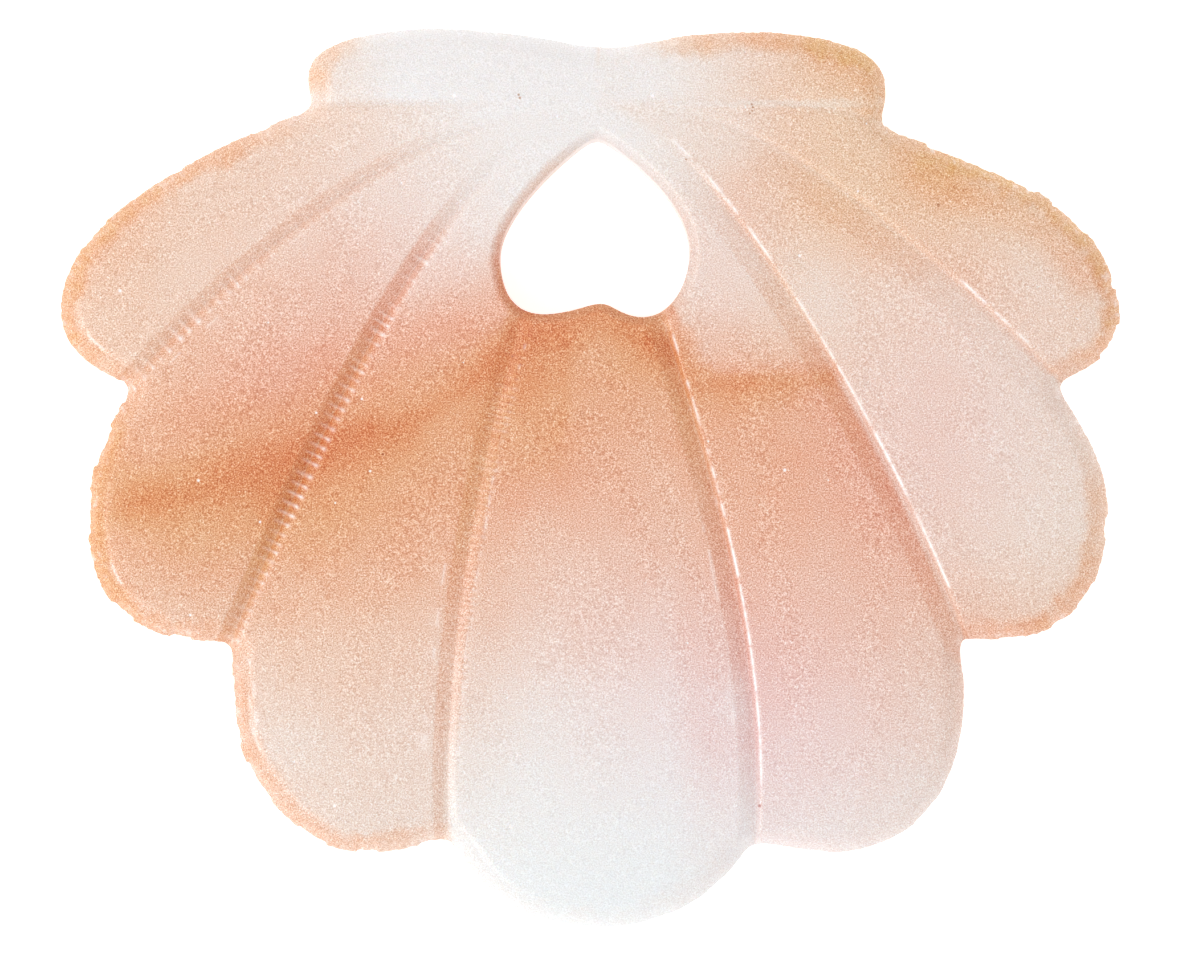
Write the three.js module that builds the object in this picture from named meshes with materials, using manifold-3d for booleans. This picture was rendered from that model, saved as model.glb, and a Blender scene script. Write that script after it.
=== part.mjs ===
// A carved stone pendant in the shape of a scallop shell, lying on its flat back.
// Seven ribs fan out from a hub under the hinge, two ears sit above it, and an
// upside-down heart is pierced through below the hub. Units are millimetres, +X is
// across the shell, +Y points towards the hinge and +Z out of the carved face.
import * as THREE from 'three';
import { ParametricGeometry } from 'three/addons/geometries/ParametricGeometry.js';
import { mergeVertices } from 'three/addons/utils/BufferGeometryUtils.js';
import Module from 'manifold-3d';

// ---- driving dimensions ----------------------------------------------------

const WALL_HEIGHT = 3.2;        // upright edge, from the back to the start of the bevel
const BEVEL_WIDTH = 1.15;       // rounded band all round the carved face
const BEVEL_RISE = 0.6;
const CROWN_RISE = 0.8;         // how far a rib could swell above the bevel
const CROWN_REACH = 3;          // distance from grooves and edge over which it swells
const FADED_GROOVE_GAP = 9;     // how far off a groove that has faded out counts as
const GROOVE_DEPTH = 0.5;
const GROOVE_HALF_WIDTH = 1;
const GROOVE_FADE = [2.5, 11];  // distances from the hub where a groove starts and is full
const EAR_GROOVE_SHARE = 0.2;   // the lines round the ears are much shallower
const BACK_CHAMFER = 0.3;
const NOTCH_SOFTENING = 0.45;   // radius left by the wheel in the notches between ribs

const HEART_SOFTENING = 0.3;
const HEART_LAYER = 3.6;        // the heart's cutter is built of layers this thick
const HEART_LAYERS = 3;         // one below the back, one upright and one opening out
const HEART_FLARE = 1.55;       // size of the cutter's top over that of its upright part

const STONE_COLOUR = new THREE.Color(0.86, 0.66, 0.54);
const STONE_ROUGHNESS = 0.3;

const HUB = new THREE.Vector2(0, 38.9);
const TOP_NOTCH = [0, 41.6];

// Ribs in order, anticlockwise from the notch between the ears. Each edge is a chain
// of cubic curves (two handles and an end) that starts where the last one ended, and
// each groove is the pair of handles of the cubic from the hub to that end.
const RIBS = [
  {
    name: 'left ear',
    edge: [
      [[-3.3, 42.3], [-8.9, 43.2], [-12.3, 41.9]],
      [[-14.1, 41.5], [-14.2, 40.2], [-13.4, 38.8]],
    ],
    groove: [[-4.0, 38.8], [-9.0, 39.1]],
    depth: EAR_GROOVE_SHARE,
  },
  {
    name: 'upper left rib',
    edge: [
      [[-16.8, 37.7], [-21.3, 35.5], [-24.1, 32.8]],
      [[-26.0, 30.2], [-26.7, 27.1], [-22.1, 25.7]],
    ],
    groove: [[-6.0, 39.0], [-13.6, 35.3]],
    depth: 0.7,
  },
  {
    name: 'middle left rib',
    edge: [
      [[-24.0, 22.6], [-24.5, 20.7], [-24.2, 18.4]],
      [[-24.0, 14.8], [-21.2, 13.1], [-17.3, 13.6]],
    ],
    groove: [[-7.0, 37.5], [-12.8, 24.5]],
    depth: 1,
  },
  {
    name: 'lower left rib',
    edge: [
      [[-17.8, 9.0], [-16.8, 6.7], [-14.0, 4.5]],
      [[-12.3, 3.1], [-9.8, 3.3], [-7.0, 4.3]],
    ],
    groove: [[-4.4, 29.5], [-7.8, 14.5]],
    depth: 1,
  },
  {
    name: 'centre rib',
    edge: [
      [[-5.2, 0.4], [-2.1, 0.0], [0.0, 0.0]],
      [[2.8, 0.0], [5.5, 1.1], [7.2, 4.1]],
    ],
    groove: [[3.0, 27.2], [8.1, 16.4]],
    depth: 1,
  },
  {
    name: 'lower right rib',
    edge: [
      [[10.4, 3.4], [11.8, 3.2], [13.8, 4.2]],
      [[16.7, 5.3], [17.9, 9.6], [17.0, 13.8]],
    ],
    groove: [[4.6, 38.6], [13.4, 23.7]],
    depth: 1,
  },
  {
    name: 'middle right rib',
    edge: [
      [[20.6, 13.1], [22.2, 14.2], [23.5, 16.2]],
      [[24.6, 19.9], [24.4, 21.8], [21.5, 25.8]],
    ],
    groove: [[6.5, 39.5], [12.8, 34.6]],
    depth: 0.7,
  },
  {
    name: 'upper right rib',
    edge: [
      [[25.5, 27.0], [25.1, 29.0], [23.9, 31.8]],
      [[22.3, 34.8], [18.8, 36.0], [13.2, 37.9]],
    ],
    groove: [[4.0, 39.6], [9.5, 39.2]],
    depth: EAR_GROOVE_SHARE,
  },
  {
    name: 'right ear',
    edge: [
      [[14.2, 39.9], [13.9, 41.8], [9.8, 42.2]],
      [[5.4, 42.9], [3.2, 41.9], TOP_NOTCH],
    ],
    groove: [[0, 39.8], [0, 40.7]],
    depth: EAR_GROOVE_SHARE,
  },
];

const HEART_APEX = [-0.1, 37.5];
const HEART_EDGE = [
  [[-2.15, 36.15], [-4.7, 33.5], [-4.75, 31.75]],
  [[-4.55, 28.45], [-2.8, 28.6], [0.25, 29.65]],
  [[1.65, 28.35], [3.6, 28.4], [4.25, 31.3]],
  [[4.8, 33.75], [2.0, 36.1], HEART_APEX],
];

// ---- mesh fineness ---------------------------------------------------------

const EDGE_STEPS = 48;          // points along one rib's edge before softening
const RIB_COLUMNS = 14;         // faces across a rib
const FAN_ROWS = 17;            // faces from the hub to the bevel
const HEART_POINTS = 72;        // points round the heart
const CURVE_SAMPLES = 60;       // points of a groove used to measure distances
const MERGE_DISTANCE = 1e-4;
const SMALLEST_SQUARE = 1e-4;   // keeps a distance of nothing out of a division

// ---- curves ----------------------------------------------------------------

function cubicChain(start, pieces) {
  const path = new THREE.Path();
  path.moveTo(...start);
  for (const [handleA, handleB, end] of pieces) {
    path.bezierCurveTo(...handleA, ...handleB, ...end);
  }
  return path;
}

// One softened closed loop of points for the whole edge, EDGE_STEPS for each rib.
function edgeLoop() {
  const points = [];
  let start = TOP_NOTCH;
  for (const rib of RIBS) {
    const side = cubicChain(start, rib.edge).getSpacedPoints(EDGE_STEPS);
    points.push(...side.slice(0, -1));
    start = rib.edge[rib.edge.length - 1][2];
  }
  return soften(points, NOTCH_SOFTENING);
}

// Averages each point with its neighbours until corners are about `radius` round.
function soften(points, radius) {
  const spacing = points[0].distanceTo(points[1]);
  const passes = Math.ceil(4 * (radius / spacing) ** 2);
  let loop = points;
  for (let pass = 0; pass < passes; pass += 1) {
    loop = loop.map((point, i) => {
      const before = loop[(i + loop.length - 1) % loop.length];
      const after = loop[(i + 1) % loop.length];
      return point.clone().multiplyScalar(2).add(before).add(after).divideScalar(4);
    });
  }
  return loop;
}

// The loop moved inwards by `inset`. The loop runs anticlockwise.
function insetLoop(loop, inset) {
  return loop.map((point, i) => {
    const before = loop[(i + loop.length - 1) % loop.length];
    const after = loop[(i + 1) % loop.length];
    const along = after.clone().sub(before).normalize();
    return point.clone().add(new THREE.Vector2(-along.y, along.x).multiplyScalar(inset));
  });
}

function pointOnLoop(loop, position) {
  const index = Math.floor(position);
  const from = loop[index % loop.length];
  const to = loop[(index + 1) % loop.length];
  return from.clone().lerp(to, position - index);
}

// The groove that closes rib `i` on its far side, ending on the given loop.
function grooveCurve(i, loop) {
  const end = loop[((i + 1) * EDGE_STEPS) % loop.length];
  const [handleA, handleB] = RIBS[i].groove;
  return new THREE.CubicBezierCurve(
    HUB, new THREE.Vector2(...handleA), new THREE.Vector2(...handleB), end,
  );
}

// ---- carved face -----------------------------------------------------------

const edge = edgeLoop();
const bevelTop = insetLoop(edge, BEVEL_WIDTH);
const grooves = RIBS.map((rib, i) => ({
  depth: rib.depth,
  points: grooveCurve(i, edge).getPoints(CURVE_SAMPLES),
}));

function distanceToLine(point, points, closed) {
  let nearest = Infinity;
  const last = closed ? points.length : points.length - 1;
  for (let i = 0; i < last; i += 1) {
    const from = points[i];
    const step = points[(i + 1) % points.length].clone().sub(from);
    const along = point.clone().sub(from).dot(step) / step.lengthSq();
    const foot = from.clone().addScaledVector(step, THREE.MathUtils.clamp(along, 0, 1));
    nearest = Math.min(nearest, foot.distanceTo(point));
  }
  return nearest;
}

// How close a line is that lies `distance` to the side and `gap` below.
function closenessOf(distance, gap) {
  return 1 / Math.max(distance ** 2 + gap ** 2, SMALLEST_SQUARE);
}

// Height of the carved face. A rib swells with its distance from the grooves and the
// edge, all taken together so that its crest is smooth, and the grooves are V cuts.
function faceHeight(point) {
  const fromHub = point.distanceTo(HUB);
  const presence = THREE.MathUtils.smoothstep(fromHub, ...GROOVE_FADE);
  const fromEdge = distanceToLine(point, edge, true);
  const inset = Math.min(fromEdge / BEVEL_WIDTH, 1);
  const bevel = BEVEL_RISE * inset * (2 - inset);
  let closeness = closenessOf(fromEdge, 0);
  let cut = 0;
  for (const groove of grooves) {
    const distance = distanceToLine(point, groove.points, false);
    const strength = presence * groove.depth;
    closeness += closenessOf(distance, FADED_GROOVE_GAP * (1 - strength));
    cut = Math.max(cut, strength * Math.max(1 - distance / GROOVE_HALF_WIDTH, 0));
  }
  const reach = 1 / Math.sqrt(closeness);
  const crown = CROWN_RISE * (1 - Math.exp(-reach / CROWN_REACH));
  return WALL_HEIGHT + bevel + crown - GROOVE_DEPTH * cut;
}

// ---- fan of the ribs -------------------------------------------------------

const fanGrooves = RIBS.map((rib, i) => grooveCurve(i, bevelTop));

// Where a column stands across its rib, from 0 at one groove to 1 at the next, on a
// row whose rib is `width` wide. The banks of the grooves take the outer columns.
function shareAcross(column, width) {
  if (column === 0) {
    return 0;
  }
  const bank = Math.min(GROOVE_HALF_WIDTH / width, 1 / RIB_COLUMNS);
  return bank + (1 - 2 * bank) * (column - 1) / (RIB_COLUMNS - 2);
}

// A point of the fan, `reach` of the way from the hub to the bevel: the blend of the
// two grooves beside the rib, bulged to end on the rounded top of the bevel.
function fanPoint(rib, column, reach) {
  const before = fanGrooves[(rib + RIBS.length - 1) % RIBS.length].getPointAt(reach);
  const after = fanGrooves[rib].getPointAt(reach);
  const share = shareAcross(column, before.distanceTo(after));
  const straight = pointOnLoop(bevelTop, rib * EDGE_STEPS)
    .lerp(pointOnLoop(bevelTop, (rib + 1) * EDGE_STEPS), share);
  const bulge = pointOnLoop(bevelTop, (rib + share) * EDGE_STEPS).sub(straight);
  return before.lerp(after, share).addScaledVector(bulge, reach ** 2);
}

// A point on a loop round the edge, in line with the same column of the fan.
function rimPoint(loop, rib, column) {
  const from = pointOnLoop(bevelTop, rib * EDGE_STEPS);
  const width = from.distanceTo(pointOnLoop(bevelTop, (rib + 1) * EDGE_STEPS));
  return pointOnLoop(loop, (rib + shareAcross(column, width)) * EDGE_STEPS);
}

// The rows of the closed surface below the fan, from the bevel round to the back.
const RIM_ROWS = [
  { loop: insetLoop(edge, BEVEL_WIDTH * 0.6), height: faceHeight },
  { loop: insetLoop(edge, BEVEL_WIDTH * 0.25), height: faceHeight },
  { loop: edge, height: faceHeight },
  { loop: edge, height: () => BACK_CHAMFER },
  { loop: insetLoop(edge, BACK_CHAMFER), height: () => 0 },
  { loop: edge.map(() => HUB), height: () => 0 },
];

function shellPoint(turn, fall, target) {
  const columns = RIBS.length * RIB_COLUMNS;
  const place = Math.round((1 - turn) * columns) % columns;
  const rib = Math.floor(place / RIB_COLUMNS);
  const column = place % RIB_COLUMNS;
  const row = Math.round(fall * (FAN_ROWS + RIM_ROWS.length));
  if (row <= FAN_ROWS) {
    const point = fanPoint(rib, column, row / FAN_ROWS);
    target.set(point.x, point.y, faceHeight(point));
    return;
  }
  const { loop, height } = RIM_ROWS[row - FAN_ROWS - 1];
  const point = rimPoint(loop, rib, column);
  target.set(point.x, point.y, height(point));
}

// ---- solids ----------------------------------------------------------------

const wasm = await Module();
wasm.setup();

function toManifold(geometry) {
  const bare = geometry.clone();
  bare.deleteAttribute('normal');
  bare.deleteAttribute('uv');
  const merged = mergeVertices(bare, MERGE_DISTANCE);
  const corners = Array.from(merged.index.array);
  const triangles = [];
  for (let i = 0; i < corners.length; i += 3) {
    const [a, b, c] = corners.slice(i, i + 3);
    if (a !== b && b !== c && c !== a) {
      triangles.push(a, b, c);
    }
  }
  return new wasm.Manifold(new wasm.Mesh({
    numProp: 3,
    vertProperties: new Float32Array(merged.attributes.position.array),
    triVerts: new Uint32Array(triangles),
  }));
}

function toGeometry(manifold) {
  const mesh = manifold.getMesh();
  const geometry = new THREE.BufferGeometry();
  geometry.setAttribute('position', new THREE.BufferAttribute(mesh.vertProperties, 3));
  geometry.setIndex(new THREE.BufferAttribute(mesh.triVerts, 1));
  return geometry;
}

function shellBlank() {
  const columns = RIBS.length * RIB_COLUMNS;
  const rows = FAN_ROWS + RIM_ROWS.length;
  return new ParametricGeometry(shellPoint, columns, rows);
}

// The pierced heart. Its layer that reaches through the carved face opens out, which
// leaves a bevel round the hole.
function heartCutter() {
  const outline = cubicChain(HEART_APEX, HEART_EDGE).getSpacedPoints(HEART_POINTS);
  const shape = new THREE.Shape(soften(outline.slice(0, -1), HEART_SOFTENING));
  const geometry = new THREE.ExtrudeGeometry(shape, {
    depth: HEART_LAYER * HEART_LAYERS,
    steps: HEART_LAYERS,
    bevelEnabled: false,
  });
  geometry.translate(0, 0, -HEART_LAYER);
  const middle = new THREE.Box2().setFromPoints(outline).getCenter(new THREE.Vector2());
  const position = geometry.attributes.position;
  for (let i = 0; i < position.count; i += 1) {
    const isTop = position.getZ(i) > HEART_LAYER * (HEART_LAYERS - 1.5);
    if (isTop) {
      position.setX(i, middle.x + (position.getX(i) - middle.x) * HEART_FLARE);
      position.setY(i, middle.y + (position.getY(i) - middle.y) * HEART_FLARE);
    }
  }
  return geometry;
}

function shellMesh() {
  const pierced = toManifold(shellBlank()).subtract(toManifold(heartCutter()));
  const geometry = toGeometry(pierced);
  geometry.computeBoundingBox();
  const { min, max } = geometry.boundingBox;
  geometry.translate(-(min.x + max.x) / 2, -(min.y + max.y) / 2, -min.z);
  geometry.computeVertexNormals();
  const stone = new THREE.MeshStandardMaterial({
    name: 'agate',
    color: STONE_COLOUR,
    roughness: STONE_ROUGHNESS,
    metalness: 0,
  });
  const mesh = new THREE.Mesh(geometry, stone);
  mesh.name = 'shell';
  return mesh;
}

const pendant = new THREE.Group();
pendant.name = 'scallop_pendant';
pendant.add(shellMesh());

export default pendant;
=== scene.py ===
import bpy
import numpy as np
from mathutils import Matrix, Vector
from mathutils.geometry import delaunay_2d_cdt


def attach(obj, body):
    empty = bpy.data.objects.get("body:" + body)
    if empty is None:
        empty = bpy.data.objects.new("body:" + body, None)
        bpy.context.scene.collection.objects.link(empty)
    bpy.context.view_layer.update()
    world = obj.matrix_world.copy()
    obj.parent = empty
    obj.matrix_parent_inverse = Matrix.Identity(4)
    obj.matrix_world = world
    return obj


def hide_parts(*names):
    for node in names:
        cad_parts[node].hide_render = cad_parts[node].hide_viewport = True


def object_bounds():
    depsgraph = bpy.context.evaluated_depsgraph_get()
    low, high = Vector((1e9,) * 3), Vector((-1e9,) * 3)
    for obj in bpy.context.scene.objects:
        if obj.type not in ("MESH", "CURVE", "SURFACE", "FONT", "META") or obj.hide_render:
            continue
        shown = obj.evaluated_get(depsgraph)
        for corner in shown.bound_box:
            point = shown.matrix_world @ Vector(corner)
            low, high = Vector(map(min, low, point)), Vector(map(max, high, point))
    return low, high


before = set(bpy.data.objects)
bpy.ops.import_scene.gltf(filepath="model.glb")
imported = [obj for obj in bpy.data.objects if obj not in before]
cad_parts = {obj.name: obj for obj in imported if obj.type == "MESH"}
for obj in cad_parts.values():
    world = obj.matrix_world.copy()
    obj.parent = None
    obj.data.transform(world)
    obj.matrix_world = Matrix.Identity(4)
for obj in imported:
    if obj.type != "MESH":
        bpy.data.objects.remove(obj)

cad_low, cad_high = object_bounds()

MM = 0.001
NODE = "shell"

# ---- shape, in millimetres -------------------------------------------------

WALL_HEIGHT = 3.2       # upright edge, from the back to the start of the bevel
BEVEL_WIDTH = 1.15      # rounded band all round the carved face
BEVEL_RISE = 0.6
CROWN_RISE = 0.8        # most that a very wide rib would swell above the bevel
CROWN_REACH = 3.0       # distance from grooves and edge over which it swells
FADED_GROOVE_GAP = 9.0  # how far off a groove that has faded out counts as
GROOVE_FADE = (2.5, 11.0)
FULL_DEPTH = 0.5        # a groove this deep or deeper parts two ribs fully
WALL_SHARE = 0.55       # of a groove's far bank that is steep, under a narrow facet
FACET_SHARE = 0.3       # of the groove's depth that the facet takes
BACK_CHAMFER = 0.3
NOTCH_SOFTENING = 0.45
HEART_SOFTENING = 0.3
HEART_BEVEL = (0.45, 0.4)   # width and drop of the bevel round the hole
MARK_PITCH = 0.47           # spacing of the wheel marks along the edge
BRIGHT_MARK = 0.07          # depth of a wheel mark whose ridge is fully bright
RAGGED_EDGE = 0.1           # burr of an edge that has the most specks
PIT_DEPTH = 0.03
EDGE_MARK_REACH = 0.6       # how far in from the edge its marks move the stone's points

HUB = (0.0, 38.9)
TOP_NOTCH = (0.0, 41.6)

# Ribs in order, anticlockwise from the notch between the ears.
# edge: a chain of cubics, each two handles and an end.
# groove: the handles of the cubic from the hub to the edge's end.
# What a rib doesn't say of its groove is in PLAIN_GROOVE:
# near, far: widths of the groove's banks, on this rib and on the next.
# depth, marks, pitch: how deep the groove is, and the wheel marks across it, and how far
# apart these are. Nearer the hub than regular, they are faint.
# bank_shade: shade painted into the groove's banks, darker colour where they face away from the
# light.
# glint: where the far bank catches the light, as distances along the groove from the
# hub, from and to, with a strength.
# lines: fine bright lines of painted highlight beside the groove: offset towards the next rib,
# from and to.
# rim, burr: how deep the wheel marks on the rib's edge are, and its ragged chips.
PLAIN_GROOVE = dict(
    near=0.5, far=0.5, depth=0.1, marks=0.0, pitch=0.5, regular=0.0, bank_shade=0.0, glint=[], lines=[],
)
RIBS = [
    dict(PLAIN_GROOVE, name="left ear",
         edge=[((-3.3, 42.3), (-8.9, 43.2), (-12.3, 41.9)),
               ((-14.1, 41.5), (-14.2, 40.2), (-13.4, 38.8))],
         groove=((-4.0, 38.8), (-9.0, 39.1)),
         rim=0.02, burr=0.02),
    dict(PLAIN_GROOVE, name="upper left rib",
         edge=[((-16.8, 37.7), (-21.3, 35.5), (-24.1, 32.8)),
               ((-26.0, 30.2), (-26.7, 27.1), (-22.1, 25.7))],
         groove=((-6.0, 39.0), (-13.6, 35.3)),
         near=0.6, far=0.55, depth=0.3, marks=0.05, pitch=0.63, regular=16.5, bank_shade=0.16,
         lines=[(0.9, 19.0, 25.0)],
         rim=0.03, burr=0.06),
    dict(PLAIN_GROOVE, name="middle left rib",
         edge=[((-24.0, 22.6), (-24.5, 20.7), (-24.2, 18.4)),
               ((-24.0, 14.8), (-21.2, 13.1), (-17.3, 13.6))],
         groove=((-7.0, 37.5), (-12.8, 24.5)),
         near=0.65, depth=0.4, marks=0.06, regular=8.5, bank_shade=0.34,
         rim=0.04, burr=0.1),
    dict(PLAIN_GROOVE, name="lower left rib",
         edge=[((-17.8, 9.0), (-16.8, 6.7), (-14.0, 4.5)),
               ((-12.3, 3.1), (-9.8, 3.3), (-7.0, 4.3))],
         groove=((-4.4, 29.5), (-7.8, 14.5)),
         near=0.7, far=0.8, depth=0.2, marks=0.02, pitch=0.36, regular=12.0, bank_shade=0.24,
         lines=[(0.6, 11.0, 33.0), (-0.95, 21.0, 32.0)],
         rim=0.02, burr=0.08),
    dict(PLAIN_GROOVE, name="centre rib",
         edge=[((-5.2, 0.4), (-2.1, 0.0), (0.0, 0.0)),
               ((2.8, 0.0), (5.5, 1.1), (7.2, 4.1))],
         groove=((3.0, 27.2), (8.1, 16.4)),
         near=0.85, far=0.34, depth=0.35, bank_shade=0.16,
         glint=[(11.4, 12.3, 0.6), (13.7, 14.1, 0.7), (14.5, 15.9, 0.5), (17.0, 17.3, 0.5),
                (17.9, 18.5, 0.9), (18.7, 19.2, 0.7), (19.7, 20.3, 0.9), (20.9, 23.2, 1.0),
                (23.6, 26.5, 1.0), (26.6, 33.0, 0.85)],
         lines=[(0.1, 14.0, 21.0), (-0.9, 20.0, 31.0)],
         rim=0.01, burr=0.03),
    dict(PLAIN_GROOVE, name="lower right rib",
         edge=[((10.4, 3.4), (11.8, 3.2), (13.8, 4.2)),
               ((16.7, 5.3), (17.9, 9.6), (17.0, 13.8))],
         groove=((4.6, 38.6), (13.4, 23.7)),
         near=1.1, far=0.34, depth=0.3, bank_shade=0.2,
         glint=[(3.8, 5.0, 0.7), (5.8, 8.4, 0.85), (9.2, 11.1, 0.85), (13.4, 15.2, 0.5),
                (15.4, 16.7, 0.6), (17.0, 20.2, 0.7), (20.6, 24.0, 0.95), (24.9, 28.7, 0.95)],
         rim=0.01, burr=0.04),
    dict(PLAIN_GROOVE, name="middle right rib",
         edge=[((20.6, 13.1), (22.2, 14.2), (23.5, 16.2)),
               ((24.6, 19.9), (24.4, 21.8), (21.5, 25.8))],
         groove=((6.5, 39.5), (12.8, 34.6)),
         near=1.5, far=0.34, depth=0.25, bank_shade=0.03,
         glint=[(19.4, 21.1, 0.9), (21.6, 22.6, 0.7), (23.0, 23.8, 0.6)],
         rim=0.02, burr=0.07),
    dict(PLAIN_GROOVE, name="upper right rib",
         edge=[((25.5, 27.0), (25.1, 29.0), (23.9, 31.8)),
               ((22.3, 34.8), (18.8, 36.0), (13.2, 37.9))],
         groove=((4.0, 39.6), (9.5, 39.2)),
         rim=0.03, burr=0.1),
    dict(PLAIN_GROOVE, name="right ear",
         edge=[((14.2, 39.9), (13.9, 41.8), (9.8, 42.2)),
               ((5.4, 42.9), (3.2, 41.9), TOP_NOTCH)],
         groove=((0.0, 39.8), (0.0, 40.7)),
         depth=0.08,
         rim=0.02, burr=0.03),
]

HEART_APEX = (-0.1, 37.5)
HEART_EDGE = [
    ((-2.15, 36.15), (-4.7, 33.5), (-4.75, 31.75)),
    ((-4.55, 28.45), (-2.8, 28.6), (0.25, 29.65)),
    ((1.65, 28.35), (3.6, 28.4), (4.25, 31.3)),
    ((4.8, 33.75), (2.0, 36.1), HEART_APEX),
]

# Fine lines of painted highlight beside the bevel, where its crease catches the light: inset,
# and from and to along the edge from the notch between the ears.
BEVEL_HIGHLIGHTS = [
    (0.8, 45.3, 47.8), (0.95, 45.9, 48.1), (0.85, 54.3, 60.5), (1.1, 55.2, 59.0),
    (1.0, 33.0, 36.0), (1.25, 116.0, 119.0),
]
LINE_BRIGHTNESS = 0.35      # of the lines beside grooves
BEVEL_HIGHLIGHT_BRIGHTNESS = 0.49   # of those beside the bevel
LINE_HALF_WIDTH = 0.05      # of both
GLINT_HALF_WIDTH = 0.06
SPECK_BRIGHTNESS = 0.4      # of the chipped edge's light specks, painted as their sparkle
PIT_BRIGHTNESS = 0.85
PIT_RIM = 1.8               # a pit or grain fades out this many of its radii off

# Small bright pits and dark grains in the face: x, y and radius.
PITS = [
    (-12.5, 5.8, 0.056), (8.75, 21.65, 0.056), (-6.85, 39.3, 0.062), (2.5, 39.3, 0.056),
    (9.45, 31.75, 0.05), (-13.35, 24.35, 0.043), (-11.2, 25.0, 0.043), (-10.8, 21.6, 0.043),
    (-16.0, 19.2, 0.043), (-18.9, 21.15, 0.05), (5.15, 23.0, 0.037), (6.9, 38.75, 0.037),
    (-19.3, 14.8, 0.043), (-2.0, 38.3, 0.037), (12.2, 34.8, 0.037), (-22.6, 30.1, 0.056),
]
GRAINS = [
    (16.0, 34.15, 0.056), (7.57, 5.8, 0.05), (-3.8, 39.35, 0.043), (-3.74, 39.2, 0.043),
    (-10.2, 22.4, 0.043), (7.2, 38.9, 0.037), (7.25, 38.75, 0.037), (7.22, 38.6, 0.037),
    (7.1, 38.47, 0.037), (4.1, 36.3, 0.031), (-4.1, 27.0, 0.031),
]
SCATTERED_PITS = 26

# ---- fineness of the mesh --------------------------------------------------

EDGE_STEP = 0.11        # along the edge
HEART_STEP = 0.12
GROOVE_STEP = 0.12
MARKED_GROOVE_STEP = 0.065
FACE_STEP = 0.3         # on the plain parts of the carved face
BACK_STEP = 1.6
BACK_GAP = 1.0          # from the edge and the heart to the back's loose points
NEAR_ROW_STEP = 0.14    # between rows of points across a groove's near bank
FAR_ROW_STEP = 0.12     # across its far bank
STEEP_ROW_STEP = 0.07   # and across a far bank narrower than STEEP_BANK
STEEP_BANK = 0.4
OUTER_ROWS = (0.09, 0.22)   # beyond each bank
ROW_GAP = 0.02          # rows closer than this would run together
HEX_ROW = 0.866         # height of an even-sided triangle of side 1
RING_SLACK = 0.02       # how far a ring's points may stray towards the loop it follows
RING_GROOVE_GAP = 1.25  # rings and the grid leave this strip to the grooves' rows,
GRID_GROOVE_GAP = 1.4
RING_HUB_REACH = 4.0    # except this near the hub, where the rows are left out
ROWS_FROM_HUB = 3.2
ROW_EDGE_GAP = 0.3
ROW_HEART_GAP = 1.05
GRID_EDGE_GAP = 1.8
GRID_HEART_GAP = 1.15
WALL_ROWS = 6
SMALLEST_SQUARE = 1e-4  # keeps a distance of nothing out of a division
CURVE_POINTS = 240      # points on each cubic before it is spaced out evenly
RING_INSETS = (0.1, 0.2, 0.32, 0.45, 0.6, 0.75, 0.88, 0.97, 1.02, 1.07, 1.15, 1.3, 1.54, 1.6, 1.66)
HEART_INSETS = (0.1, 0.2, 0.3, 0.38, 0.45, 0.52, 0.62, 0.75, 0.95)
CHUNK = 4000            # points handled at a time, to spare memory


def cubic_chain(start, pieces):
    """Points along a chain of cubics, close together."""
    t = np.linspace(0, 1, CURVE_POINTS, endpoint=False)[:, None]
    s = 1 - t
    out = []
    start = np.array(start)
    for handle_a, handle_b, end in pieces:
        a, b, end = np.array(handle_a), np.array(handle_b), np.array(end)
        out.append(s ** 3 * start + 3 * s ** 2 * t * a + 3 * s * t ** 2 * b + t ** 3 * end)
        start = end
    out.append(start[None])
    return np.concatenate(out)


def lengths(points):
    """Distance along a line of points, from its first point to each."""
    return np.concatenate([[0], np.cumsum(np.linalg.norm(np.diff(points, axis=0), axis=1))])


def spaced(points, count):
    """count + 1 points at even distances along a line of points."""
    along = lengths(points)
    at = np.linspace(0, along[-1], count + 1)
    return np.stack([np.interp(at, along, points[:, k]) for k in (0, 1)], 1)


def soften(loop, radius):
    """Averages a closed loop with its neighbours until corners are about radius round."""
    spacing = np.linalg.norm(loop[1] - loop[0])
    for _ in range(int(np.ceil(4 * (radius / spacing) ** 2))):
        loop = (np.roll(loop, 1, 0) + 2 * loop + np.roll(loop, -1, 0)) / 4
    return loop


def closed(loop):
    return np.concatenate([loop, loop[:1]])


def inward(loop):
    """Unit vectors pointing into an anticlockwise loop, at its points."""
    along = np.roll(loop, -1, 0) - np.roll(loop, 1, 0)
    along /= np.linalg.norm(along, axis=1)[:, None]
    return np.stack([-along[:, 1], along[:, 0]], 1)


def edge_loop():
    """The softened edge, and the number of the point where each rib ends."""
    sides = []
    start = TOP_NOTCH
    for rib in RIBS:
        side = cubic_chain(start, rib["edge"])
        sides.append(spaced(side, int(lengths(side)[-1] / EDGE_STEP))[:-1])
        start = rib["edge"][-1][2]
    ends = np.cumsum([len(side) for side in sides])
    return soften(np.concatenate(sides), NOTCH_SOFTENING), ends


def heart_loop():
    outline = cubic_chain(HEART_APEX, HEART_EDGE)
    even = spaced(outline, int(lengths(outline)[-1] / HEART_STEP))[:-1]
    return soften(even, HEART_SOFTENING)


def groove_line(rib, end):
    line = cubic_chain(HUB, [(*rib["groove"], tuple(edge[end % len(edge)]))])
    step = MARKED_GROOVE_STEP if rib["marks"] > 0 else GROOVE_STEP
    return spaced(line, int(lengths(line)[-1] / step))


edge, rib_ends = edge_loop()
heart = heart_loop()
groove_lines = [groove_line(rib, end) for rib, end in zip(RIBS, rib_ends)]
edge_middle = (edge.min(0) + edge.max(0)) / 2
edge_total = lengths(closed(edge))[-1]
rib_end_at = lengths(closed(edge))[rib_ends]


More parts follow.
